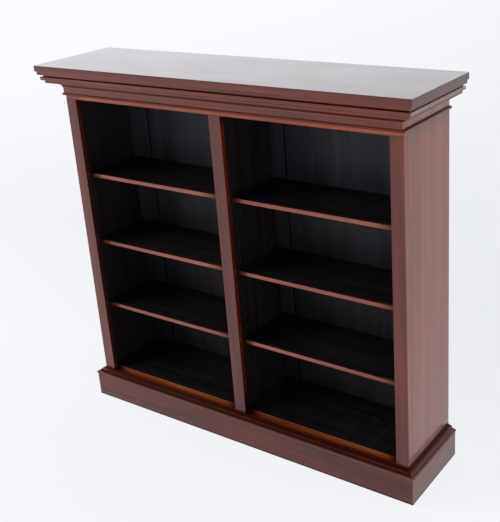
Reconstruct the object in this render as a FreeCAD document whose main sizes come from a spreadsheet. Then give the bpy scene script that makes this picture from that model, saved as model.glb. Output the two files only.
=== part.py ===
import FreeCAD, Part
import os
import Sketcher

# Open mahogany bookcase of two bays, with three adjustable shelves in each.
# Millimetres. X runs along the width, the front faces -Y and Z is up.
# The origin is on the floor, below the middle of the overall box.

Vector = FreeCAD.Vector
doc = FreeCAD.newDocument("bookcase")
sheet = doc.addObject("Spreadsheet::Sheet", "dims")


class Size:
    """A named length of the sheet, or a sum of such lengths: its formula and its value."""

    def __init__(self, formula, value):
        self.formula = formula
        self.value = value

    def joined(self, sign, other, value):
        right = other.formula if isinstance(other, Size) else repr(other)
        return Size("(" + self.formula + " " + sign + " " + right + ")", value)

    def __add__(self, other):
        return self.joined("+", other, self.value + value_of(other))

    def __sub__(self, other):
        return self.joined("-", other, self.value - value_of(other))

    def __mul__(self, share):
        return self.joined("*", share, self.value * value_of(share))

    def __truediv__(self, share):
        return self.joined("/", share, self.value / value_of(share))

    def __neg__(self):
        return Size("(-" + self.formula + ")", -self.value)

    def root(self):
        return Size("sqrt(" + self.formula + ")", self.value ** 0.5)


def value_of(length):
    return length.value if isinstance(length, Size) else length


rows = []


def size(alias, value):
    """Write one driving dimension into the sheet and return it."""
    rows.append(alias)
    row = str(len(rows))
    sheet.set("A" + row, alias)
    sheet.set("B" + row, str(value))
    sheet.setAlias("B" + row, alias)
    return Size("dims." + alias, value)


zero = Size("0", 0)

# Carcase
carcase_width = size("carcase_width", 1304)
carcase_depth = size("carcase_depth", 283)
side_thickness = size("side_thickness", 23)
divider_thickness = size("divider_thickness", 26)
foot_gap = size("foot_gap", 6)
arris = size("arris", 0.8)
overrun = size("overrun", 5)

# Face frame
stile_width = size("stile_width", 44.5)
stile_thickness = size("stile_thickness", 20)
opening_top = size("opening_top", 1165)
rail_face = size("rail_face", 13)

# Plinth and its moulding
plinth_thickness = size("plinth_thickness", 24)
plinth_height = size("plinth_height", 89)
plinth_mould_height = size("plinth_mould_height", 21)
nose_reach = size("nose_reach", 3.5)
nose_height = size("nose_height", 8.5)
hollow_rise = size("hollow_rise", 3.5)
hollow_fillet_reach = size("hollow_fillet_reach", 13)
hollow_fillet_height = size("hollow_fillet_height", 5)
hollow_fillet_ledge = size("hollow_fillet_ledge", 2)

# Bead, frieze and cornice
bead_height = size("bead_height", 9)
bead_reach = size("bead_reach", 8)
bead_round = size("bead_round", 3.5)
frieze_face = size("frieze_face", 18)
frieze_proud = size("frieze_proud", 7)
cornice_height = size("cornice_height", 52)
cove_reach = size("cove_reach", 13)
cove_rise = size("cove_rise", 15)
soffit_rise = size("soffit_rise", 7)
lower_fillet_reach = size("lower_fillet_reach", 40)
lower_fillet_ledge = size("lower_fillet_ledge", 2)
lower_fillet_height = size("lower_fillet_height", 6.5)
bevel_rise = size("bevel_rise", 5.5)
upper_fillet_reach = size("upper_fillet_reach", 50)
upper_fillet_height = size("upper_fillet_height", 10.5)
shadow_reach = size("shadow_reach", 42)

# Top
top_thickness = size("top_thickness", 20)
top_overhang_front = size("top_overhang_front", 63)
top_overhang_side = size("top_overhang_side", 60)
top_edge_radius = size("top_edge_radius", 2)
under_top_thickness = size("under_top_thickness", 12)
under_top_set_in = size("under_top_set_in", 5)

# Bottom boards
bottom_above_mould = size("bottom_above_mould", 11)
bottom_thickness = size("bottom_thickness", 20)
bottom_lip_depth = size("bottom_lip_depth", 12)
base_rail_lap = size("base_rail_lap", 3)
housing_depth = size("housing_depth", 8)
lip_radius = size("lip_radius", 2.5)

# Framed back
back_thickness = size("back_thickness", 18)
back_stile_width = size("back_stile_width", 93)
back_muntin_width = size("back_muntin_width", 141)
back_top_rail = size("back_top_rail", 90)
back_bottom_rail = size("back_bottom_rail", 61)
groove_depth = size("groove_depth", 8)
groove_width = size("groove_width", 6)
groove_set_in = size("groove_set_in", 6)
panel_joint = size("panel_joint", 2.5)
panel_play = size("panel_play", 0.2)

# Shelves and pegs
shelf_set_back = size("shelf_set_back", 35)
shelf_thickness = size("shelf_thickness", 15)
shelf_lip_depth = size("shelf_lip_depth", 10)
shelf_end_gap = size("shelf_end_gap", 1.5)
shelf_back_gap = size("shelf_back_gap", 2)
peg_diameter = size("peg_diameter", 6.35)
peg_seat_gap = size("peg_seat_gap", 0.3)
peg_insert = size("peg_insert", 10)
peg_reach = size("peg_reach", 14)
peg_end_radius = size("peg_end_radius", 1.2)
hole_pitch = size("hole_pitch", 50.8)
hole_play = size("hole_play", 0.05)
lowest_hole = size("lowest_hole", 262.4)
front_hole_set_back = size("front_hole_set_back", 56)
back_hole_set_in = size("back_hole_set_in", 50)

# Half a flat of an octagon, as a share of its inner radius
octagon_share = 0.41421

# Depth of a hollow curve, as a share of the straight line between its ends
cove_dip_share = 0.13
hollow_dip_share = 0.11

# Whole numbers: holes in a column, and the hole counted from the lowest that carries each shelf
hole_count = 15
shelf_holes = {"1": 2, "2": 7, "3": 12}

# Levels
plinth_mould_top = plinth_height + plinth_mould_height
bottom_top = plinth_mould_top + bottom_above_mould
bottom_under = bottom_top - bottom_thickness
base_rail_top = bottom_under + base_rail_lap
bead_bottom = opening_top + rail_face
frieze_bottom = bead_bottom + bead_height
cornice_bottom = frieze_bottom + frieze_face
carcase_top = cornice_bottom + cornice_height
under_top_top = carcase_top + under_top_thickness
back_bottom = bottom_top - back_bottom_rail

# Places along the width
half_width = carcase_width / 2
side_face = half_width - side_thickness
divider_face = divider_thickness / 2

# Places along the depth
back_plane = (carcase_depth + frieze_proud + top_overhang_front) / 2
front_plane = back_plane - carcase_depth
frame_back = front_plane + stile_thickness
frieze_plane = front_plane - frieze_proud
back_face = back_plane - back_thickness
shelf_front = front_plane + shelf_set_back
shelf_back = back_face - shelf_back_gap

doc.recompute()


def origin_plane(body, role):
    for feature in body.Origin.OriginFeatures:
        if feature.Role == role:
            return feature
    raise ValueError(role)


def new_body(label):
    body = doc.addObject("PartDesign::Body", label)
    body.Label = label
    return body


def place(thing, x=zero, y=zero, z=zero):
    for axis, length in (("x", x), ("y", y), ("z", z)):
        if length is not zero:
            thing.setExpression("Placement.Base." + axis, length.formula)


def outline(body, name, role, points, arcs=None):
    """A closed sketch through the points; arcs gives a radius and a bulge point by the side's number."""
    arcs = arcs or {}
    sketch = body.newObject("Sketcher::SketchObject", name)
    sketch.AttachmentSupport = (origin_plane(body, role), [""])
    sketch.MapMode = "FlatFace"
    corners = [Vector(value_of(u), value_of(v), 0) for u, v in points]
    count = len(points)
    turned = []
    for side in range(count):
        start = corners[side]
        end = corners[(side + 1) % count]
        clockwise = False
        curve = Part.LineSegment(start, end)
        if side in arcs:
            bulge = Vector(value_of(arcs[side][1][0]), value_of(arcs[side][1][1]), 0)
            clockwise = (bulge - start).cross(end - bulge).z < 0
            curve = Part.Arc(end, bulge, start) if clockwise else Part.Arc(start, bulge, end)
        sketch.addGeometry(curve, False)
        turned.append(clockwise)
    for side in range(count):
        after = (side + 1) % count
        tail = 1 if turned[side] else 2
        head = 2 if turned[after] else 1
        sketch.addConstraint(Sketcher.Constraint("Coincident", side, tail, after, head))
    for side in range(count):
        head = 2 if turned[side] else 1
        for kind, length in (("DistanceX", points[side][0]), ("DistanceY", points[side][1])):
            place_number = sketch.addConstraint(
                Sketcher.Constraint(kind, -1, 1, side, head, value_of(length)))
            sketch.setExpression("Constraints[%d]" % place_number, length.formula)
    for side in arcs:
        radius = arcs[side][0]
        radius_number = sketch.addConstraint(Sketcher.Constraint("Radius", side, value_of(radius)))
        sketch.setExpression("Constraints[%d]" % radius_number, radius.formula)
    return sketch


def hollow_curve(start, end, dip_share):
    """Radius and middle point of an arc that dips to the left of the way from start to end."""
    along = end[0] - start[0]
    up = end[1] - start[1]
    straight = (along * along + up * up).root()
    radius = straight * (1 / (8 * dip_share) + dip_share / 2)
    middle = ((start[0] + end[0]) / 2 - up * dip_share, (start[1] + end[1]) / 2 + along * dip_share)
    return radius, middle


def rectangle(body, name, role, u_start, u_end, v_start, v_end):
    corners = [(u_start, v_start), (u_end, v_start), (u_end, v_end), (u_start, v_end)]
    return outline(body, name, role, corners)


def pad(body, name, sketch, length, reverse=False, symmetric=False):
    feature = body.newObject("PartDesign::Pad", name)
    feature.Profile = sketch
    feature.setExpression("Length", length.formula)
    feature.Reversed = reverse
    if symmetric:
        feature.SideType = "Symmetric"
    doc.recompute()
    return feature


def pocket(body, name, sketch, length=None, reverse=False):
    """A cut to the given depth, or right through both ways where no depth is given."""
    before = body.Shape.Volume
    feature = body.newObject("PartDesign::Pocket", name)
    feature.Profile = sketch
    if length is None:
        feature.Type = "ThroughAll"
        feature.SideType = "Symmetric"
    else:
        feature.setExpression("Length", length.formula)
        feature.Reversed = reverse
    doc.recompute()
    if not body.Shape.Volume < before:
        raise RuntimeError(name + " cuts nothing")
    return feature


def ease(body, edge_size=arris):
    """Take the arris off every edge of the piece."""
    base = body.Tip
    feature = body.newObject("PartDesign::Chamfer", body.Name + "_arris")
    feature.Base = (base, [""])
    feature.UseAllEdges = True
    feature.setExpression("Size", edge_size.formula)
    doc.recompute()


def board(label, x_start, x_end, y_start, y_end, z_start, z_end):
    """A square-edged board, eased on every edge."""
    body = new_body(label)
    face = rectangle(body, label + "_face", "XY_Plane", x_start, x_end, y_start, y_end)
    pad(body, label + "_board", face, z_end - z_start)
    ease(body)
    place(body, z=z_start)
    return body


def edges_where(body, test):
    """Names of the edges of the piece so far whose both ends pass the test."""
    names = []
    for number, edge in enumerate(body.Shape.Edges, start=1):
        if all(test(vertex.Point) for vertex in edge.Vertexes):
            names.append("Edge%d" % number)
    return names


def round_edges(body, names, radius):
    base = body.Tip
    feature = body.newObject("PartDesign::Fillet", body.Name + "_round")
    feature.Base = (base, names)
    feature.setExpression("Radius", radius.formula)
    doc.recompute()


def mitred_front(label, points, arcs, corner, reach):
    """A moulding across the front, cut at 45 degrees at both ends. The points are (Y, Z)."""
    body = new_body(label)
    section = outline(body, label + "_section", "YZ_Plane", points, arcs)
    pad(body, label + "_length", section, (half_width + reach) * 2, symmetric=True)
    cut_reach = reach + overrun
    for end, sign in (("left", -1), ("right", 1)):
        inner = half_width * sign
        outer = (half_width + cut_reach) * sign
        triangle = [(inner, corner), (outer, corner), (outer, corner - cut_reach)]
        pocket(body, label + "_mitre_" + end, outline(body, label + "_" + end, "XY_Plane", triangle))
    return body


def mitred_side(label, sign, points, arcs, corner, reach):
    """A moulding along one side, from the back plane to its mitre. The points are (X, Z)."""
    body = new_body(label)
    section = outline(body, label + "_section", "XZ_Plane", points, arcs)
    pad(body, label + "_length", section, back_plane - corner + reach)
    place(body, y=back_plane)
    cut_reach = reach + overrun
    inner = half_width * sign
    outer = (half_width + cut_reach) * sign
    near = corner - back_plane
    triangle = [(inner, near), (outer, near - cut_reach), (inner, near - cut_reach)]
    pocket(body, label + "_mitre", outline(body, label + "_end", "XY_Plane", triangle))
    return body


def mitred_set(label, profile, front_face, reach):
    """Front, left and right lengths of one moulding. The profile gives its reach and its level."""
    points, arcs = profile
    front = [(front_face - out, level) for out, level in points]
    front_arcs = {n: (radius, (front_face - bulge[0], bulge[1])) for n, (radius, bulge) in arcs.items()}
    mitred_front(label + "_front", front, front_arcs, front_face, reach)
    for name, sign in (("left", -1), ("right", 1)):
        side = [((half_width + out) * sign, level) for out, level in points]
        side_arcs = {n: (radius, ((half_width + bulge[0]) * sign, bulge[1]))
                     for n, (radius, bulge) in arcs.items()}
        mitred_side(label + "_" + name, sign, side, side_arcs, front_face, reach)


# Top: a square-edged board with softened front and side edges on a slightly smaller one
top_half = half_width + top_overhang_side
top_front = frieze_plane - top_overhang_front
top_board = new_body("top_board")
top_face = rectangle(top_board, "top_face", "XY_Plane", -top_half, top_half, top_front, back_plane)
pad(top_board, "top_slab", top_face, top_thickness)
rear = value_of(back_plane)
round_edges(top_board, edges_where(top_board, lambda p: p.y < rear), top_edge_radius)
place(top_board, z=under_top_top)

under_half = top_half - under_top_set_in
board("under_top", -under_half, under_half, top_front + under_top_set_in, back_plane,
      carcase_top, under_top_top)

# Cornice: cove and soffit under two fillets, with a shadow line below the top
soffit_inner = cornice_bottom + cove_rise
soffit_outer = soffit_inner + soffit_rise
bevel_bottom = soffit_outer + lower_fillet_height
bevel_top = bevel_bottom + bevel_rise
upper_fillet_top = bevel_top + upper_fillet_height
cornice_points = [
    (zero, cornice_bottom),
    (cove_reach, soffit_inner),
    (lower_fillet_reach - lower_fillet_ledge, soffit_outer),
    (lower_fillet_reach, soffit_outer),
    (lower_fillet_reach, bevel_bottom),
    (upper_fillet_reach, bevel_top),
    (upper_fillet_reach, upper_fillet_top),
    (shadow_reach, upper_fillet_top),
    (shadow_reach, carcase_top),
    (zero, carcase_top),
]
cove = hollow_curve(cornice_points[0], cornice_points[1], cove_dip_share)
mitred_set("cornice", (cornice_points, {0: cove}), frieze_plane, upper_fillet_reach)

# Frieze board on the front; on the sides the panel itself is the frieze
board("frieze_board", -half_width, half_width, frieze_plane, front_plane, frieze_bottom, carcase_top)

# Bead under the frieze: nearly a half round
bead_middle = bead_bottom + bead_height / 2
bead_radius = (bead_height * bead_height / bead_round / 4 + bead_round) / 2
bead_flat = bead_reach - bead_round
bead_points = [
    (zero, bead_bottom),
    (bead_flat, bead_bottom),
    (bead_flat, frieze_bottom),
    (zero, frieze_bottom),
]
mitred_set("bead", (bead_points, {1: (bead_radius, (bead_reach, bead_middle))}), front_plane, bead_reach)

# Plinth boards, down to the floor, and the moulding along their top
plinth_points = [
    (zero, zero),
    (plinth_thickness, zero),
    (plinth_thickness, plinth_height),
    (zero, plinth_height),
]
mitred_set("plinth", (plinth_points, {}), front_plane, plinth_thickness)

nose_top = plinth_height + nose_height
nose_middle = plinth_height + nose_height / 2
hollow_top = nose_top + hollow_rise
fillet_top = hollow_top + hollow_fillet_height
nose_radius = (nose_height * nose_height / nose_reach / 4 + nose_reach) / 2
mould_points = [
    (zero, plinth_height),
    (plinth_thickness, plinth_height),
    (plinth_thickness, nose_top),
    (hollow_fillet_reach, hollow_top),
    (hollow_fillet_reach, fillet_top),
    (hollow_fillet_reach - hollow_fillet_ledge, fillet_top),
    (zero, plinth_mould_top),
]
mould_arcs = {
    1: (nose_radius, (plinth_thickness + nose_reach, nose_middle)),
    2: hollow_curve(mould_points[2], mould_points[3], hollow_dip_share),
}
mitred_set("plinth_mould", (mould_points, mould_arcs), front_plane, plinth_thickness + nose_reach)

# Face frame: two full-width rails with three stiles between them
board("top_rail", -half_width, half_width, front_plane, frame_back, opening_top, carcase_top)
board("base_rail", -half_width, half_width, front_plane, frame_back, foot_gap, base_rail_top)
stile_half = stile_width / 2
stile_places = {
    "left": (-half_width, stile_width - half_width),
    "centre": (-stile_half, stile_half),
    "right": (half_width - stile_width, half_width),
}
for name, (x_start, x_end) in stile_places.items():
    board("stile_" + name, x_start, x_end, front_plane, frame_back, base_rail_top, opening_top)

# Heights of the peg holes and of the shelves that lie on the pegs
peg_radius = peg_diameter / 2
hole_radius = peg_radius + hole_play
front_holes = front_plane + front_hole_set_back
back_holes = back_plane - back_hole_set_in


def hole_height(number):
    return lowest_hole + hole_pitch * number


def hole_outline(y_centre, z_centre):
    """A drilled hole drawn with eight flats, because there are so many of them."""
    half_flat = hole_radius * octagon_share
    turns = [
        (hole_radius, -half_flat), (hole_radius, half_flat),
        (half_flat, hole_radius), (-half_flat, hole_radius),
        (-hole_radius, half_flat), (-hole_radius, -half_flat),
        (-half_flat, -hole_radius), (half_flat, -hole_radius),
    ]
    return [(y_centre + u, z_centre + v) for u, v in turns]


def peg_holes(body, face, side, reverse):
    """Two columns of blind holes, drilled into the face at the given place along X."""
    for row, y_hole in (("front", front_holes), ("back", back_holes)):
        name = body.Name + "_" + side + "_" + row
        sketch = outline(body, name + "_lowest", "YZ_Plane", hole_outline(y_hole, lowest_hole))
        sketch.setExpression("AttachmentOffset.Base.z", face.formula)
        drilled = pocket(body, name + "_hole", sketch, peg_insert, reverse)
        column = body.newObject("PartDesign::LinearPattern", name + "_column")
        column.Originals = [drilled]
        column.Direction = (sketch, ["V_Axis"])
        column.Occurrences = hole_count
        column.setExpression("Length", (hole_pitch * (hole_count - 1)).formula)
        body.Tip = column
        doc.recompute()


def upright(label, x_start, x_end, y_end, hole_faces):
    """A carcase upright with its housings for the bottom boards and its peg holes."""
    body = new_body(label)
    face = rectangle(body, label + "_face", "XY_Plane", x_start, x_end, frame_back, y_end)
    pad(body, label + "_board", face, carcase_top)
    cut = rectangle(body, label + "_foot", "XZ_Plane", x_start - overrun, x_end + overrun, -overrun, foot_gap)
    pocket(body, label + "_foot_cut", cut)
    ease(body)
    for side, x_face, inward in hole_faces:
        deep = x_face + housing_depth * inward
        housing = rectangle(body, label + "_" + side + "_housing", "XZ_Plane",
                            x_face - overrun * inward, deep, bottom_under, bottom_top)
        pocket(body, label + "_" + side + "_housing_cut", housing)
        peg_holes(body, x_face, side, inward > 0)
    return body


upright("side_left", -half_width, -side_face, back_plane, [("inner", -side_face, -1)])
upright("side_right", side_face, half_width, back_plane, [("inner", side_face, 1)])
upright("divider", -divider_face, divider_face, back_face,
        [("left", -divider_face, 1), ("right", divider_face, -1)])

# Bottom boards, held in housings, with thicker-looking front lippings whose foot the base rail covers
bay_places = {"left": (-side_face, -divider_face), "right": (divider_face, side_face)}
bottom_lip_back = frame_back + bottom_lip_depth
for name, (x_start, x_end) in bay_places.items():
    housed = (x_start - housing_depth, x_end + housing_depth)
    board("bottom_" + name, housed[0], housed[1], bottom_lip_back, back_face, bottom_under, bottom_top)
    lip = new_body("bottom_lip_" + name)
    face = rectangle(lip, lip.Name + "_face", "XY_Plane", housed[0], housed[1], frame_back, bottom_lip_back)
    pad(lip, lip.Name + "_strip", face, bottom_thickness)
    nose, foot = value_of(bottom_lip_back), value_of(base_rail_lap)
    round_edges(lip, edges_where(lip, lambda p: p.y < nose and p.z > foot), lip_radius)
    place(lip, z=bottom_under)

# Framed back: stiles, muntin and rails grooved for two panels that lie flush with the frame
back_inner = side_face - back_stile_width
muntin_half = back_muntin_width / 2
back_rail_under = carcase_top - back_top_rail
groove_front = back_face + groove_set_in
groove_back = groove_front + groove_width


def grooved(label, x_start, x_end, z_start, z_end, grooves):
    """A member of the back frame. Each groove is given as its (X, Z) rectangle."""
    body = new_body(label)
    face = rectangle(body, label + "_face", "XY_Plane", x_start, x_end, back_face, back_plane)
    pad(body, label + "_board", face, z_end - z_start)
    place(body, z=z_start)
    for number, (role, u_start, u_end, v_start, v_end) in enumerate(grooves):
        name = label + "_groove_%d" % number
        pocket(body, name, rectangle(body, name + "_section", role, u_start, u_end, v_start, v_end))
    return body


for name, sign in (("left", -1), ("right", 1)):
    outer, inner = side_face * sign, back_inner * sign
    groove = ("XY_Plane", inner + groove_depth * sign, inner - overrun * sign, groove_front, groove_back)
    grooved("back_stile_" + name, outer, inner, back_bottom, carcase_top, [groove])

muntin_grooves = []
for sign in (-1, 1):
    edge = muntin_half * sign
    muntin_grooves.append(("XY_Plane", edge - groove_depth * sign, edge + overrun * sign,
                           groove_front, groove_back))
grooved("back_muntin", -muntin_half, muntin_half, bottom_top, back_rail_under, muntin_grooves)

top_groove = ("YZ_Plane", groove_front, groove_back, -overrun, groove_depth)
grooved("back_rail_top", -back_inner, back_inner, back_rail_under, carcase_top, [top_groove])
bottom_groove = ("YZ_Plane", groove_front, groove_back, back_bottom_rail - groove_depth,
                 back_bottom_rail + overrun)
grooved("back_rail_bottom", -back_inner, back_inner, back_bottom, bottom_top, [bottom_groove])

tongue = groove_depth - panel_play
panel_places = {"left": (-back_inner, -muntin_half), "right": (muntin_half, back_inner)}
for name, (x_start, x_end) in panel_places.items():
    panel = new_body("back_panel_" + name)
    sheet_face = rectangle(panel, panel.Name + "_tongue", "XZ_Plane", x_start - tongue, x_end + tongue,
                           bottom_top - tongue, back_rail_under + tongue)
    pad(panel, panel.Name + "_sheet", sheet_face, groove_width - panel_play * 2)
    field = rectangle(panel, panel.Name + "_field", "XZ_Plane", x_start + panel_joint, x_end - panel_joint,
                      bottom_top + panel_joint, back_rail_under - panel_joint)
    pad(panel, panel.Name + "_raised", field, groove_width - panel_play + groove_set_in)
    place(panel, y=groove_back - panel_play)

# Shelves with front lippings, each on four pegs
shelf_lip_back = shelf_front + shelf_lip_depth
for name, (x_start, x_end) in bay_places.items():
    shelf_start = x_start + shelf_end_gap
    shelf_end = x_end - shelf_end_gap
    for level, hole in shelf_holes.items():
        node = name + "_" + level
        peg_height = hole_height(hole)
        shelf_under = peg_height + peg_radius + peg_seat_gap
        board("shelf_" + node, shelf_start, shelf_end, shelf_lip_back, shelf_back,
              shelf_under, shelf_under + shelf_thickness)
        lip = new_body("lip_" + node)
        face = rectangle(lip, lip.Name + "_face", "XY_Plane", shelf_start, shelf_end,
                         shelf_front, shelf_lip_back)
        pad(lip, lip.Name + "_strip", face, shelf_thickness)
        nose = value_of(shelf_lip_back)
        round_edges(lip, edges_where(lip, lambda p: p.y < nose), lip_radius)
        place(lip, z=shelf_under)

        pegs = []
        for end, x_face, inward in (("a", x_start, 1), ("b", x_end, -1)):
            for row, y_hole in (("front", front_holes), ("back", back_holes)):
                peg = doc.addObject("PartDesign::Body", "peg_" + node + "_" + end + "_" + row)
                turned = outline(peg, peg.Name + "_profile", "XZ_Plane", [
                    (-peg_insert, zero),
                    (peg_reach, zero),
                    (peg_reach, peg_radius - peg_end_radius),
                    (peg_reach - peg_end_radius, peg_radius),
                    (-peg_insert, peg_radius),
                ])
                turn = peg.newObject("PartDesign::Revolution", peg.Name + "_turned")
                turn.Profile = turned
                turn.ReferenceAxis = (turned, ["H_Axis"])
                turn.Angle = 360
                place(peg, x_face, y_hole, peg_height)
                if inward < 0:
                    peg.Placement.Rotation = FreeCAD.Rotation(Vector(0, 0, 1), 180)
                pegs.append(peg)
        group = doc.addObject("Part::Compound", "pegs_" + node)
        group.Links = pegs
        group.Label = "pegs_" + node

doc.recompute()

# Every object has to be sound before anything is written
nodes = {}
for thing in doc.Objects:
    for state in thing.State:
        if state in ("Invalid", "Error"):
            raise RuntimeError(thing.Name + " is " + state)
    loose = thing.TypeId == "PartDesign::Body" and not thing.Name.startswith("peg_")
    if loose or thing.TypeId == "Part::Compound":
        if thing.Shape.isNull() or not thing.Shape.isValid():
            raise RuntimeError(thing.Name + " has no sound shape")
        nodes[thing.Label] = thing

os.makedirs("parts", exist_ok=True)
for label, thing in nodes.items():
    thing.Shape.exportStep(os.path.join("parts", label + ".step"))
print(len(nodes), "nodes written")
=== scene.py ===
import math

import bpy
from mathutils import Matrix, Vector


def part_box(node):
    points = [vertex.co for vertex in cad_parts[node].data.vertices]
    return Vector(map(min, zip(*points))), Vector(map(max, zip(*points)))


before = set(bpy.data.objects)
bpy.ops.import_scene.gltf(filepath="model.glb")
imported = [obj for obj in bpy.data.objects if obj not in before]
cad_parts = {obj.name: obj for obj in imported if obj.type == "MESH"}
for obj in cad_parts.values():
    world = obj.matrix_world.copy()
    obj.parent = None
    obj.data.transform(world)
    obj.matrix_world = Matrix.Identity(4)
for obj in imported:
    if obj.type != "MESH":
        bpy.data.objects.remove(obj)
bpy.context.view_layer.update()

scene = bpy.context.scene
scene.view_settings.view_transform = "Standard"
MM = 0.001
AXES = {"x": 0, "y": 1, "z": 2}


def colour(hex_value):
    """An sRGB hex value as linear RGBA."""
    parts = [int(hex_value[i:i + 2], 16) / 255 for i in (1, 3, 5)]
    return tuple(c / 12.92 if c <= 0.04045 else ((c + 0.055) / 1.055) ** 2.4 for c in parts) + (1.0,)


def bare_tree(holder):
    """The emptied node tree of a new material or world."""
    holder.use_nodes = True
    holder.node_tree.nodes.clear()
    return holder.node_tree


def add(tree, kind, links=None, stops=None, **settings):
    """Add a node with its settings, ramp stops and inputs; an input is a value or another node's output."""
    node = tree.nodes.new("ShaderNode" + kind)
    for name, value in settings.items():
        setattr(node, name, value)
    if stops:
        while len(node.color_ramp.elements) < len(stops):
            node.color_ramp.elements.new(0.5)
        for element, (place, shade) in zip(node.color_ramp.elements, stops):
            element.position = place
            element.color = shade
    for socket, value in (links or {}).items():
        if isinstance(value, bpy.types.NodeSocket):
            tree.links.new(value, node.inputs[socket])
        else:
            node.inputs[socket].default_value = value
    return node


# Camera, fitted to the photograph's edges: lens and lens axis in pixels; turn, rise and tilt in degrees
IMAGE_WIDTH, IMAGE_HEIGHT = 500, 522
LENS_PIXELS = 897.7
AXIS_PIXEL = (291.3, 219.6)
TURN, RISE, TILT = (math.radians(a) for a in (35.523, 20.629, -3.616))
CAMERA_PLACE = (1.7363, -2.1641, 1.8203)

back = Vector((math.sin(TURN) * math.cos(RISE), -math.cos(TURN) * math.cos(RISE), math.sin(RISE)))
level = Vector((math.cos(TURN), math.sin(TURN), 0))
upward = back.cross(level)
right = math.cos(TILT) * level + math.sin(TILT) * upward
upright = math.cos(TILT) * upward - math.sin(TILT) * level
facing = Matrix((right, upright, back)).transposed().to_4x4()
lens = bpy.data.cameras.new("camera")
lens.sensor_width = 36
lens.lens = LENS_PIXELS * lens.sensor_width / IMAGE_HEIGHT
lens.shift_x = (IMAGE_WIDTH / 2 - AXIS_PIXEL[0]) / IMAGE_HEIGHT
lens.shift_y = (AXIS_PIXEL[1] - IMAGE_HEIGHT / 2) / IMAGE_HEIGHT
camera = bpy.data.objects.new("camera", lens)
camera.matrix_world = Matrix.Translation(CAMERA_PLACE) @ facing
scene.collection.objects.link(camera)
scene.camera = camera


def along_grain(tree, place, grain, across_mm, along_mm, detail=2.0, distortion=0.0):
    """A pattern of that width across the grain and that length along it."""
    repeats = [1 / (across_mm * MM)] * 3
    repeats[AXES[grain]] = 1 / (along_mm * MM)
    laid = add(tree, "Mapping", {"Vector": place, "Scale": repeats}).outputs[0]
    pattern = {"Vector": laid, "Scale": 1.0, "Detail": detail, "Distortion": distortion}
    return add(tree, "TexNoise", pattern).outputs[0]


def within(tree, limits, sources):
    """1 where every limit holds: (source, axis, value where it is 0, value where it is 1).

    The sources are the place, the normal, and the same without their signs, as apart and facing."""
    inside = None
    for source, axis, none, full in limits:
        along = add(tree, "SeparateXYZ", {0: sources[source]}).outputs[AXES[axis]]
        held = add(tree, "MapRange", {"Value": along, "From Min": none, "From Max": full},
                   interpolation_type="SMOOTHSTEP").outputs[0]
        if inside is not None:
            held = add(tree, "Math", {0: inside, 1: held}, operation="MULTIPLY").outputs[0]
        inside = held
    return inside


# Numbers of the Mix node's sockets that take and give colours
MIX_UNDER, MIX_OVER, MIX_RESULT = 6, 7, 2


def covered(tree, under, over, *masks):
    """One colour laid over another where every mask is 1."""
    where = masks[0]
    for mask in masks[1:]:
        where = add(tree, "Math", {0: where, 1: mask}, operation="MULTIPLY").outputs[0]
    links = {"Factor": where, MIX_UNDER: under, MIX_OVER: over}
    return add(tree, "Mix", links, data_type="RGBA").outputs[MIX_RESULT]


# Shelf-peg holes: two columns to a face, 2 inches apart, so that their rims can be worn pale
HOLE_COLUMNS = (-0.0505, 0.1265)
LOWEST_HOLE, HOLE_PITCH, HOLE_COUNT = 0.2624, 0.0508, 15
RIM_OUTSIDE, RIM_FULL = 4.6 * MM, 3.4 * MM


def hole_rims(tree, place):
    """1 on the holes' walls and worn rims."""
    axes = add(tree, "SeparateXYZ", {0: place})
    along, up = axes.outputs[1], axes.outputs[2]
    first_two = {"Value": up, "From Min": LOWEST_HOLE, "From Max": LOWEST_HOLE + HOLE_PITCH}
    count = add(tree, "MapRange", first_two, clamp=False).outputs[0]
    nearest = add(tree, "Math", {0: count}, operation="ROUND").outputs[0]
    nearest = add(tree, "Clamp", {"Value": nearest, "Min": 0.0, "Max": HOLE_COUNT - 1.0}).outputs[0]
    off = add(tree, "Math", {0: count, 1: nearest}, operation="SUBTRACT").outputs[0]
    rise = add(tree, "Math", {0: off, 1: HOLE_PITCH}, operation="MULTIPLY").outputs[0]
    sides = [add(tree, "Math", {0: along, 1: column}, operation="SUBTRACT") for column in HOLE_COLUMNS]
    sides = [add(tree, "Math", {0: side.outputs[0]}, operation="ABSOLUTE") for side in sides]
    side = add(tree, "Math", {0: sides[0].outputs[0], 1: sides[1].outputs[0]}, operation="MINIMUM")
    spot = add(tree, "CombineXYZ", {0: side.outputs[0], 1: rise}).outputs[0]
    away = add(tree, "VectorMath", {0: spot}, operation="LENGTH").outputs["Value"]
    return add(tree, "MapRange", {"Value": away, "From Min": RIM_OUTSIDE, "From Max": RIM_FULL}).outputs[0]


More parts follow.
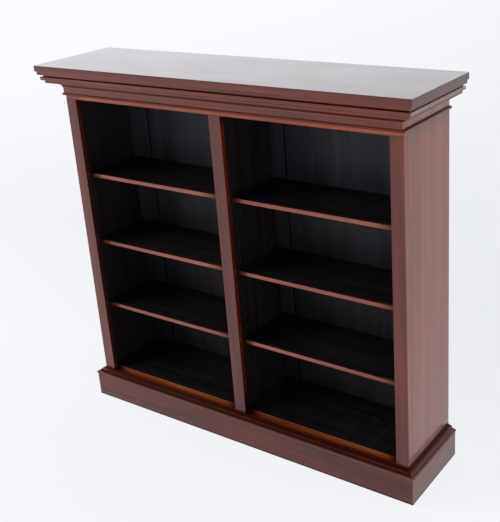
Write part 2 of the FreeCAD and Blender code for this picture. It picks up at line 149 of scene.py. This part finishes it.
# Shades of each group of boards, from dark streak to light, and the places of the three in the figure
SHADES = {
    "top": ("#43150b", "#4f1b10", "#5a2114"),
    "top end grain": ("#340f09", "#42160e", "#512015"),
    "cornice": ("#4a1409", "#5f2013", "#742c1a"),
    # Painted shade: the cornice's sides are darker than its front
    "cornice side painted darker": ("#38130c", "#471d14", "#57281d"),
    # Painted sheen on the fillet of the cornice's sides
    "fillet painted sheen": ("#6a4740", "#7b564f", "#8b655e"),
    "stile": ("#461309", "#591e13", "#69291a"),
    "stile inner edge": ("#521304", "#611907", "#70220d"),
    # Painted light and painted shade on the stiles' inner edges
    "inner edge painted light": ("#641705", "#761d06", "#86270c"),
    "inner edge painted shade": ("#33160e", "#3d1a10", "#482014"),
    "side": ("#662a1d", "#783524", "#87412d"),
    # Painted shadow under the bead, and painted sheen over it and at the sides' foot
    "side painted shadow under bead": ("#50221a", "#602c21", "#703829"),
    "frieze side painted sheen": ("#654137", "#764e43", "#865b50"),
    "side foot painted sheen": ("#785654", "#876563", "#957270"),
    "plinth": ("#3c0f07", "#54190e", "#682416"),
    "mould": ("#30100a", "#3e1811", "#4c2119"),
    # Painted light: the moulding's sides are lighter than its front
    "mould side painted lighter": ("#3a1a13", "#4a241b", "#5a2f25"),
    "base rail": ("#4a1f10", "#5a2814", "#6a321c"),
    "rail": ("#833311", "#9c441d", "#af572d"),
    "rail foot": ("#602811", "#753419", "#864326"),
    # Painted light towards the rail's left end
    "rail end painted light": ("#903b16", "#aa4d23", "#bd6034"),
    "rail over stile": ("#552214", "#682e1e", "#783a28"),
    "edging": ("#733521", "#8a4631", "#9c5740"),
    "sill": ("#6b3013", "#833f1d", "#964f2a"),
    "upright stain": ("#17130f", "#1f1a1c", "#282023"),
    "shelf stain": ("#131112", "#1a1719", "#231f21"),
    "back stain": ("#1f1c20", "#272428", "#2f2c31"),
    # Painted light high in the back
    "back stain painted lighter high": ("#28262c", "#312f37", "#3b3942"),
    "rear stain": ("#3a2619", "#4a3223", "#5a3f2d"),
}
SHADE_PLACES = (0.38, 0.5, 0.62)
# Boards are cut from anywhere along this many metres of log
LOG_LENGTH = 37.0
# A ribbon of the figure is this many times as long as wide
RIBBON_STRETCH = 25
STREAK_SHARE, CLOUD_SHARE = 0.3, 0.3
ARRIS_RADIUS = 2.0 * MM
# Share of the film's reflection that is left under painted shade, painted sheen and dirt
DULLED = 0.05


def wood(name, grain, shade, ribbon_mm=24, film=1.0, film_roughness=0.16, worn=None,
         covers=(), shade_and_dirt=(), rims=None, rubbed=None):
    """Mahogany, planed, grain-filled and finished with shellac, or stained black and finished thinly.

    The eye gets ribbon figure, fine streaks, dark pores, rubbed edges, and at low angles a soft white
    reflection. covers are pairs of limits and the other shade that the board has there, some of them
    painted light and shade; shade_and_dirt, pairs of limits and a colour laid on under a dulled film:
    painted shade in hollows and corners, a painted pale sheen on some mouldings, dirt in the back's joints
    and at the plinth's foot; rims, the colour of worn peg holes and their limits; worn, the colour of rubbed
    edges, and rubbed, of the scuffs that books leave."""
    material = bpy.data.materials.new(name)
    tree = bare_tree(material)
    coordinates = add(tree, "TexCoord")
    sources = {"place": coordinates.outputs["Object"], "normal": coordinates.outputs["Normal"]}
    for unsigned, signed in (("apart", "place"), ("facing", "normal")):
        sources[unsigned] = add(tree, "VectorMath", {0: sources[signed]}, operation="ABSOLUTE").outputs[0]
    board = add(tree, "ObjectInfo").outputs["Random"]
    shift = add(tree, "VectorMath", {0: board, "Scale": LOG_LENGTH}, operation="SCALE").outputs[0]
    log = add(tree, "VectorMath", {0: sources["place"], 1: shift}).outputs[0]

    ribbon = along_grain(tree, log, grain, ribbon_mm, RIBBON_STRETCH * ribbon_mm, distortion=0.4)
    streak = along_grain(tree, log, grain, across_mm=6, along_mm=320, detail=4.0)
    # Real pores are about 0.3 mm wide; drawn wider so that they show
    pore = along_grain(tree, log, grain, across_mm=1.4, along_mm=22)
    cloud = along_grain(tree, log, grain, across_mm=80, along_mm=240)
    figure = add(tree, "Mix", {"Factor": STREAK_SHARE, "A": ribbon, "B": streak}).outputs[0]
    mottled = add(tree, "Mix", {"Factor": CLOUD_SHARE, "A": figure, "B": cloud}).outputs[0]

    shaded = None
    for limits, cover in [(None, shade)] + list(covers):
        stops = [(place, colour(tone)) for place, tone in zip(SHADE_PLACES, SHADES[cover])]
        figured = add(tree, "ValToRGB", {0: mottled}, stops=stops).outputs[0]
        shaded = covered(tree, shaded, figured, within(tree, limits, sources)) if limits else figured
    # Filler has darkened the pores
    filled = {"Value": pore, "From Min": 0.36, "From Max": 0.5, "To Min": 0.72, "To Max": 1.0}
    darkened = {"Factor": 1.0, MIX_UNDER: shaded, MIX_OVER: add(tree, "MapRange", filled).outputs[0]}
    shaded = add(tree, "Mix", darkened, data_type="RGBA", blend_type="MULTIPLY").outputs[MIX_RESULT]
    if worn:
        # Hands and dusters have rubbed the arrises; the rubbing comes and goes along an edge
        softened = add(tree, "Bevel", {"Radius": ARRIS_RADIUS}, samples=4).outputs[0]
        flat = add(tree, "NewGeometry").outputs["Normal"]
        turned = add(tree, "VectorMath", {0: softened, 1: flat}, operation="DOT_PRODUCT").outputs["Value"]
        edge = add(tree, "MapRange", {"Value": turned, "From Min": 0.98, "From Max": 0.86}).outputs[0]
        patchy = {"Value": cloud, "From Min": 0.4, "From Max": 0.62, "To Min": 0.15, "To Max": 0.75}
        come_and_go = add(tree, "MapRange", patchy).outputs[0]
        shaded = covered(tree, shaded, colour(worn), edge, come_and_go)
    if rims:
        rim, limits = rims
        pale = hole_rims(tree, sources["place"])
        shaded = covered(tree, shaded, colour(rim), pale, within(tree, limits, sources))
    if rubbed:
        # Books slide from front to back, so their scuffs run that way, and only on the upper face
        scuff = along_grain(tree, log, "y", across_mm=7, along_mm=130, detail=4.0)
        few = {"Value": scuff, "From Min": 0.56, "From Max": 0.78, "To Min": 0.0, "To Max": 0.45}
        sparse = add(tree, "MapRange", few).outputs[0]
        upper = within(tree, [("normal", "z", 0.6, 0.9)], sources)
        shaded = covered(tree, shaded, colour(rubbed), sparse, upper)
    shine = film
    for limits, shade_and_dirt_colour in shade_and_dirt:
        # Painted shade, painted sheen and dirt are laid on under a dulled film
        dull = within(tree, limits, sources)
        shaded = covered(tree, shaded, colour(shade_and_dirt_colour), dull)
        dimmed = {"Value": dull, "To Min": shine, "To Max": DULLED * film}
        shine = add(tree, "MapRange", dimmed).outputs[0]
    uneven = {"Value": cloud, "From Min": 0.35, "From Max": 0.65, "To Min": 0.38, "To Max": 0.5}
    gloss = add(tree, "MapRange", uneven).outputs[0]
    relief = add(tree, "Bump", {"Strength": 0.1, "Distance": 0.2 * MM, "Height": pore}).outputs[0]
    shader = add(tree, "BsdfPrincipled", {
        "Base Color": shaded, "Roughness": gloss, "Normal": relief, "IOR": 1.5, "Specular IOR Level": 0.1,
        "Coat Weight": shine, "Coat IOR": 1.5, "Coat Roughness": film_roughness})
    add(tree, "OutputMaterial", {"Surface": shader.outputs[0]})
    return material


# Turning rings are about 0.1 mm apart; drawn at 0.8 mm so that they show
RING_SPACING = 0.8 * MM
# A wave texture of scale 1 turns through this angle in a metre
WAVE_RADIANS = 20


def turned_brass(name):
    """Brass rod, turned and parted off: fine rings round the peg, bright where the tarnish is thin, else
    dull.
    """
    material = bpy.data.materials.new(name)
    tree = bare_tree(material)
    place = add(tree, "TexCoord").outputs["Object"]
    ring_scale = 2 * math.pi / RING_SPACING / WAVE_RADIANS
    rings = add(tree, "TexWave", {"Vector": place, "Scale": ring_scale, "Distortion": 0.3}).outputs[1]
    tarnish = add(tree, "TexNoise", {"Vector": place, "Scale": 1 / (4 * MM), "Detail": 3.0}).outputs[0]
    stops = [(0.35, colour("#6e5426")), (0.5, colour("#a98443")), (0.65, colour("#c9a55f"))]
    tint = add(tree, "ValToRGB", {0: tarnish}, stops=stops).outputs[0]
    bright = {"Value": tarnish, "From Min": 0.35, "From Max": 0.65, "To Min": 0.48, "To Max": 0.28}
    gloss = add(tree, "MapRange", bright).outputs[0]
    relief = add(tree, "Bump", {"Strength": 0.2, "Distance": 0.05 * MM, "Height": rings}).outputs[0]
    shader = add(tree, "BsdfPrincipled", {"Base Color": tint, "Metallic": 1.0, "Roughness": gloss,
                                          "Normal": relief})
    add(tree, "OutputMaterial", {"Surface": shader.outputs[0]})
    return material


def from_level(level, none_mm, full_mm):
    """A limit on height, in millimetres over a level: 0 at the first, 1 at the second."""
    return ("place", "z", level + none_mm * MM, level + full_mm * MM)


# Where the boards of the case meet, in metres
side_inner, side_outer = (abs(corner[0]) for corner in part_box("side_right"))
stile_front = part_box("stile_right")[0][1]
rail_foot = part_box("top_rail")[0][2]
bead_foot, bead_top = (corner[2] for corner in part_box("bead_right"))
cornice_foot, cornice_top = (corner[2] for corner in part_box("cornice_front"))
mould_foot, mould_top = (corner[2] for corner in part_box("plinth_mould_front"))
back_joints = (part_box("back_muntin")[1][0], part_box("back_stile_right")[0][0])

UPPER_FACE = [("normal", "z", 0.55, 0.9)]
END_FACES = [("facing", "x", 0.6, 0.8)]
REAR_FACE = [("normal", "y", 0.4, 0.6)]
OUTER_SIDE = [("apart", "x", side_outer - 2 * MM, side_outer - 0.8 * MM)]
SIDE_STAIN = [("apart", "x", side_inner + 1.5 * MM, side_inner + 0.5 * MM)]
HOLES_INSIDE = [("apart", "x", side_outer - 8 * MM, side_outer - 10 * MM)]
# The stiles' inner edges: painted light high on the centre stile, painted shade on the outer ones,
# black-stained at the rear
CENTRE, OUTER = ("apart", "x", 0.3, 0.2), ("apart", "x", 0.2, 0.3)
OFF_OUTER_EDGE = ("apart", "x", side_outer - 10 * MM, side_outer - 14 * MM)
STILE_INSIDE = [("place", "y", stile_front + 0.2 * MM, stile_front + 1 * MM), OFF_OUTER_EDGE]
INSIDE_PAINTED_LIGHT = STILE_INSIDE + [CENTRE, ("place", "z", 0.86, 0.98)]
INSIDE_PAINTED_SHADE = STILE_INSIDE + [OUTER, ("place", "z", 1.25, 0.8)]
STILE_STAIN = [("place", "y", stile_front + 14 * MM, stile_front + 18 * MM), OFF_OUTER_EDGE]
# The sides are painted darker under the bead, as the cornice's shadow. Over it, at their foot and on the
# fillet of the cornice's sides a pale grey sheen is painted
UNDER_BEAD = [from_level(bead_foot, -60, -4), ("place", "z", bead_top, bead_foot)]
OVER_BEAD = [("place", "z", bead_foot, bead_top)]
SIDE_FOOT = [from_level(mould_top, 28, 15), from_level(mould_top, 5, 16)]
UPPER_FILLET = [from_level(cornice_top, -19.5, -17.5), from_level(cornice_top, -7.5, -9)]
# The rail is painted paler towards its left end, as light from the left, but darker at its foot and over the
# left stile
RAIL_FOOT = [from_level(rail_foot, 9, 1)]
RAIL_END = [("place", "x", -0.15, -0.6)]
RAIL_OVER_STILE = [("place", "x", -0.54, -0.605)]
# The stain of the back is painted lighter towards the top, as the light that falls in there
BACK_PAINTED_LIGHTER_HIGH = [("place", "z", 0.45, 1.0)]

# Painted shade, dark under a dulled film: in the hollows and corners of the mouldings and at the ends of the
# lippings;
# some moulding parts are painted pale as sheen, and the back's joints hold dirt
# Painted shade in the cove under the cornice's soffit
COVE = [from_level(cornice_foot, 1, 5), from_level(cornice_foot, 22, 21.5)]
COVE_PAINTED_SHADE = {"x": [(COVE, "#4f1408")], "y": [(COVE, "#2a0b05")]}
# Painted shade in the recess under the top boards
RECESS_PAINTED_SHADE = [([from_level(cornice_top, -8.2, -7.7)], "#521206")]
# Painted shade on the bead's lower part and on the upper face of its sides
BEAD_FOOT_PAINTED_SHADE = [([from_level(bead_foot, 4, 2)], "#5a1a0d")]
BEAD_TOP_PAINTED_SHADE = [([("normal", "z", 0.2, 0.6)], "#48170f")]
# Painted shade in the corner where the side meets the plinth's moulding
SIDE_CORNER = [from_level(mould_top, 14, 2)]
SIDE_CORNER_PAINTED_SHADE = "#3a1a14"
# Painted shade on the stiles: in the corner at the moulding, towards the centre stile's foot, on its inner
# edges near the bottom, and the rail's shadow high on the inner edges
STILE_PAINTED_SHADE = [
    ([from_level(mould_top, 5, 1)], "#2c100a"),
    (OUTER_SIDE + SIDE_CORNER, SIDE_CORNER_PAINTED_SHADE),
    ([CENTRE, ("place", "z", 0.4, -0.55)], "#3a140c"),
    (STILE_INSIDE + [CENTRE, ("place", "z", 0.22, 0.15)], "#1c0b08"),
    (STILE_INSIDE + [from_level(rail_foot, -45, -12)], "#30120b")]
# The nose of the plinth's moulding is dull too, and painted pale as a painted reflection
MOULD_NOSE = [from_level(mould_foot, 8.8, 8.2)]
MOULD_HOLLOW = [from_level(mould_foot, 8.2, 8.8), from_level(mould_foot, 12.3, 11.7)]
# The moulding's hollow: painted shade in front, a painted pale sheen on the sides
HOLLOW_PAINTED_SHADE_AND_SHEEN = {"x": [(MOULD_HOLLOW, "#33130d")], "y": [(MOULD_HOLLOW, "#684741")]}
MOULD_SLOPE = [from_level(mould_top, -3.9, -3.4)]
# The moulding's slope: painted shade, paler to the left as painted light; the nose a painted pale reflection
MOULD_PAINTED_SHADE_AND_SHEEN = [
    (MOULD_SLOPE, "#320e08"),
    (MOULD_SLOPE + [("place", "x", 0.1, -0.35)], "#38190f"),
    (MOULD_NOSE, "#6c4843")]
# At the plinth's foot: dirt, and a painted contact shadow
FOOT_DIRT_AND_PAINTED_SHADOW = [([from_level(0, 6, 2.5)], "#1f0d0a")]
# Painted shade at the sills' ends, beside the stiles
SILL_END_PAINTED_SHADE = [([("apart", "x", 0.095, 0.032)], "#2a1009"), ([("apart", "x", 0.545, 0.603)], "#2a1009")]
# Painted shadow of the stiles at the ends of the lippings
EDGING_END_PAINTED_SHADOW = [
    ([("place", "x", -0.125, -0.035), ("place", "x", 0.01, -0.01)], "#5c3022"),
    ([("place", "x", 0.52, 0.605)], "#5c3022"),
    ([("place", "x", -0.59, -0.622)], "#1f0b08"),
    ([("place", "x", 0.05, 0.016), ("place", "x", 0.0, 0.01)], "#482219")]
JOINT_GRIME = [([("apart", "x", joint - 4 * MM, joint - 2.5 * MM),
                 ("apart", "x", joint + 4 * MM, joint + 2.5 * MM),
                 ("normal", "y", 0.5, 0.2)], "#08070a") for joint in back_joints]

# Outside, shellac rubbed on by hand in many thin coats: deep red-brown under a clear film
WORN = "#8f4a2d"
top_wood = wood("french_polished_mahogany_top", "x", "cornice", ribbon_mm=40, worn=WORN,
                covers=[(UPPER_FACE, "top"), (END_FACES, "top end grain")])
# The cornice's sides are painted darker than its front, as shade
cornice_wood = {
    "x": wood("french_polished_mahogany_cornice_x", "x", "cornice", worn=WORN,
              shade_and_dirt=COVE_PAINTED_SHADE["x"] + RECESS_PAINTED_SHADE),
    "y": wood("french_polished_mahogany_cornice_y", "y", "cornice side painted darker", worn=WORN,
              covers=[(UPPER_FILLET, "fillet painted sheen")], shade_and_dirt=COVE_PAINTED_SHADE["y"])}
frieze_wood = wood("french_polished_mahogany_frieze", "x", "cornice", worn=WORN,
                   covers=[(OUTER_SIDE, "side")])
bead_wood = {grain: wood("french_polished_mahogany_bead_" + grain, grain, "cornice", worn=WORN, shade_and_dirt=shade_and_dirt)
             for grain, shade_and_dirt in (("x", BEAD_FOOT_PAINTED_SHADE), ("y", BEAD_FOOT_PAINTED_SHADE + BEAD_TOP_PAINTED_SHADE))}
plinth_wood = {grain: wood("french_polished_mahogany_plinth_" + grain, grain, "plinth", film=0.8, worn=WORN,
                           shade_and_dirt=FOOT_DIRT_AND_PAINTED_SHADOW) for grain in "xy"}
# The moulding's sides are painted lighter than its front, as light
mould_wood = {grain: wood("french_polished_mahogany_plinth_mould_" + grain, grain, shade, worn=WORN,
                          shade_and_dirt=HOLLOW_PAINTED_SHADE_AND_SHEEN[grain] + MOULD_PAINTED_SHADE_AND_SHEEN)
              for grain, shade in (("x", "mould"), ("y", "mould side painted lighter"))}
stile_wood = wood("french_polished_mahogany_stile", "z", "stile", worn=WORN, shade_and_dirt=STILE_PAINTED_SHADE, covers=[
    (STILE_INSIDE, "stile inner edge"), (INSIDE_PAINTED_LIGHT, "inner edge painted light"),
    (INSIDE_PAINTED_SHADE, "inner edge painted shade"), (STILE_STAIN, "upright stain"),
    (OUTER_SIDE, "side"), (OUTER_SIDE + SIDE_FOOT, "side foot painted sheen")])
side_wood = wood("french_polished_mahogany_side", "z", "side", ribbon_mm=34, worn=WORN,
                 shade_and_dirt=[(SIDE_CORNER, SIDE_CORNER_PAINTED_SHADE)], rims=("#221c19", HOLES_INSIDE), covers=[
                     (UNDER_BEAD, "side painted shadow under bead"), (OVER_BEAD, "frieze side painted sheen"),
                     (SIDE_FOOT, "side foot painted sheen"), (SIDE_STAIN, "upright stain")])
# Round the openings, lighter red wood, polished and left unstained in front
edging_wood = wood("polished_mahogany_edging", "x", "edging", covers=[(UPPER_FACE, "shelf stain")],
                   shade_and_dirt=EDGING_END_PAINTED_SHADOW)
rail_wood = wood("polished_mahogany_rail", "x", "rail", covers=[
    (RAIL_END, "rail end painted light"), (RAIL_FOOT, "rail foot"), (RAIL_OVER_STILE, "rail over stile"),
    (OUTER_SIDE, "side")])
sill_wood = wood("polished_mahogany_sill", "x", "sill", covers=[(UPPER_FACE, "shelf stain")],
                 shade_and_dirt=SILL_END_PAINTED_SHADE)
# Inside, black stain under a thin film: nearly black, with a faint soft reflection
divider_wood = wood("black_stained_mahogany_divider", "z", "upright stain", film=0.25, film_roughness=0.45,
                    rims=("#453c36", HOLES_INSIDE))
shelf_wood = wood("black_stained_mahogany_shelf", "x", "shelf stain", film=0.2, film_roughness=0.45,
                  worn="#3a2c26", rubbed="#3a3331")
back_wood = {grain: wood("black_stained_mahogany_back_" + grain, grain, "back stain", film=0.35,
                         film_roughness=0.45, shade_and_dirt=JOINT_GRIME,
                         covers=[(BACK_PAINTED_LIGHTER_HIGH, "back stain painted lighter high"), (REAR_FACE, "rear stain")])
             for grain in "xz"}
# Behind the plinth, dark and dull under a thin film: painted shade in the gap behind the moulding
base_wood = wood("dull_mahogany_base_rail", "x", "base rail", film=0.2, film_roughness=0.35)
brass = turned_brass("turned_brass")

# Each node takes the first finish whose words its name starts with
FINISHES = (
    ("lip_", edging_wood), ("bottom_lip_", sill_wood), ("top_rail", rail_wood), ("pegs_", brass),
    ("shelf_", shelf_wood), ("bottom_", shelf_wood), ("divider", divider_wood), ("stile_", stile_wood),
    ("back_rail_", back_wood["x"]), ("back_", back_wood["z"]), ("side_", side_wood),
    ("plinth_mould_front", mould_wood["x"]), ("plinth_mould_", mould_wood["y"]),
    ("plinth_front", plinth_wood["x"]), ("plinth_", plinth_wood["y"]), ("base_rail", base_wood),
    ("cornice_front", cornice_wood["x"]), ("cornice_", cornice_wood["y"]),
    ("bead_front", bead_wood["x"]), ("bead_", bead_wood["y"]),
    ("frieze_board", frieze_wood), ("top_board", top_wood), ("under_top", top_wood),
)
for node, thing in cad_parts.items():
    finish = next(material for start, material in FINISHES if node.startswith(start))
    for held in thing.material_slots:
        held.material = finish


def paper_floor():
    """Matt white paper, painted a little greyer behind on the right as shade, which fades into the white
    wall behind.
    """
    ground = bpy.data.materials.new("white_paper_floor")
    tree = bare_tree(ground)
    path = add(tree, "LightPath").outputs
    seen = path["Is Camera Ray"]
    for ray in ("Is Glossy Ray", "Is Transmission Ray"):
        seen = add(tree, "Math", {0: seen, 1: path[ray]}, operation="MAXIMUM").outputs[0]
    place = add(tree, "TexCoord").outputs["Object"]
    # Near the object a part of the paper is lit by the lamps alone, so that it takes the shadow
    away = add(tree, "VectorMath", {0: place}, operation="LENGTH").outputs["Value"]
    fading = {"Value": away, "From Min": 0.8, "From Max": 5.0, "To Min": 0.85, "To Max": 1.0}
    far = add(tree, "MapRange", fading).outputs[0]
    share = add(tree, "Math", {0: far, 1: seen}, operation="MULTIPLY").outputs[0]
    axes = add(tree, "SeparateXYZ", {0: place}).outputs
    # The glow is painted greyer behind on the right, as shade there
    across = add(tree, "MapRange", {"Value": axes[0], "From Min": -7.0, "From Max": 0.0}).outputs[0]
    behind = add(tree, "MapRange", {"Value": axes[1], "From Min": -0.2, "From Max": 1.4},
                 interpolation_type="SMOOTHSTEP").outputs[0]
    white_and_painted_shade = covered(tree, colour("#fbfcff"), colour("#f0f2f5"), across, behind)
    paper = add(tree, "BsdfDiffuse", {"Color": colour("#eceef1")}).outputs[0]
    glow = add(tree, "Emission", {"Color": white_and_painted_shade, "Strength": 1.0}).outputs[0]
    either = add(tree, "MixShader", {0: share, 1: paper, 2: glow}).outputs[0]
    add(tree, "OutputMaterial", {"Surface": either})
    return ground


FLOOR_SIZE = 40
bpy.ops.object.select_all(action="DESELECT")
bpy.ops.mesh.primitive_plane_add(size=FLOOR_SIZE)
floor = bpy.context.object
floor.name = "floor"
floor.data.materials.append(paper_floor())


def studio_air():
    """The air of a studio: white wall behind the object, dim room behind the camera, darker ceiling."""
    world = bpy.data.worlds.new("studio")
    tree = bare_tree(world)
    path = add(tree, "LightPath").outputs
    shown = add(tree, "Math", {0: path["Is Camera Ray"], 1: path["Is Transmission Ray"]},
                operation="MAXIMUM").outputs[0]
    seen = add(tree, "Math", {0: shown, 1: path["Is Glossy Ray"]}, operation="MAXIMUM").outputs[0]
    across, inward, up = add(tree, "SeparateXYZ", {0: add(tree, "TexCoord").outputs["Generated"]}).outputs
    # What lights the object
    overhead = {"Value": up, "From Min": 0.1, "From Max": 0.8, "To Min": 1.0, "To Max": 0.4}
    ceiling = add(tree, "MapRange", overhead).outputs[0]
    front_to_back = {"Value": inward, "From Min": -0.4, "From Max": 0.4, "To Min": 0.25, "To Max": 0.8}
    depth = add(tree, "MapRange", front_to_back).outputs[0]
    room = add(tree, "Math", {0: ceiling, 1: depth}, operation="MULTIPLY").outputs[0]
    air = add(tree, "Background", {"Color": colour("#f4f7fb"), "Strength": room}).outputs[0]
    # What the camera sees, and the polish mirrors
    front_to_back = {"Value": inward, "From Min": -0.25, "From Max": 0.25, "To Min": 0.2, "To Max": 1.0}
    sheen = add(tree, "MapRange", front_to_back).outputs[0]
    leftward = {"Value": across, "From Min": -0.75, "From Max": -0.35, "To Min": 1.0, "To Max": 0.9}
    sideways = add(tree, "MapRange", leftward).outputs[0]
    sheen = add(tree, "Math", {0: sheen, 1: sideways}, operation="MULTIPLY").outputs[0]
    brightness = add(tree, "Math", {0: sheen, 1: shown}, operation="MAXIMUM").outputs[0]
    wall = add(tree, "Background", {"Color": colour("#f8f9fc"), "Strength": brightness}).outputs[0]
    either = add(tree, "MixShader", {0: seen, 1: air, 2: wall}).outputs[0]
    add(tree, "OutputWorld", {"Surface": either})
    return world


scene.world = studio_air()


def softbox(name, place, aim, width, height, watts, glare=True, tint="#ffffff"):
    """A soft area lamp; without glare it is polarised, so that it doesn't show in the film of polish."""
    lamp = bpy.data.lights.new(name, "AREA")
    lamp.shape = "RECTANGLE"
    lamp.size = width
    lamp.size_y = height
    lamp.energy = watts
    lamp.color = colour(tint)[:3]
    holder = bpy.data.objects.new(name, lamp)
    holder.location = place
    holder.rotation_mode = "QUATERNION"
    holder.rotation_quaternion = (Vector(aim) - Vector(place)).to_track_quat("-Z", "Y")
    holder.visible_glossy = glare
    scene.collection.objects.link(holder)


softbox("left_softbox", place=(-5.2, -3.65, 2.95), aim=(0, 0, 0.65), width=4.5, height=3.0, watts=400,
        glare=False)
softbox("right_fill", place=(3.4, -2.2, 1.6), aim=(0.3, 0, 0.65), width=2.4, height=2.0, watts=42,
        glare=False)
softbox("right_softbox", place=(3.6, 0.9, 1.5), aim=(0.65, 0, 0.65), width=1.6, height=1.6, watts=31,
        glare=False)
softbox("lit_back_wall", place=(-2.2, 3.9, 2.2), aim=(0, 0, 1.3), width=6.0, height=2.2, watts=24,
        tint="#f4f7ff")
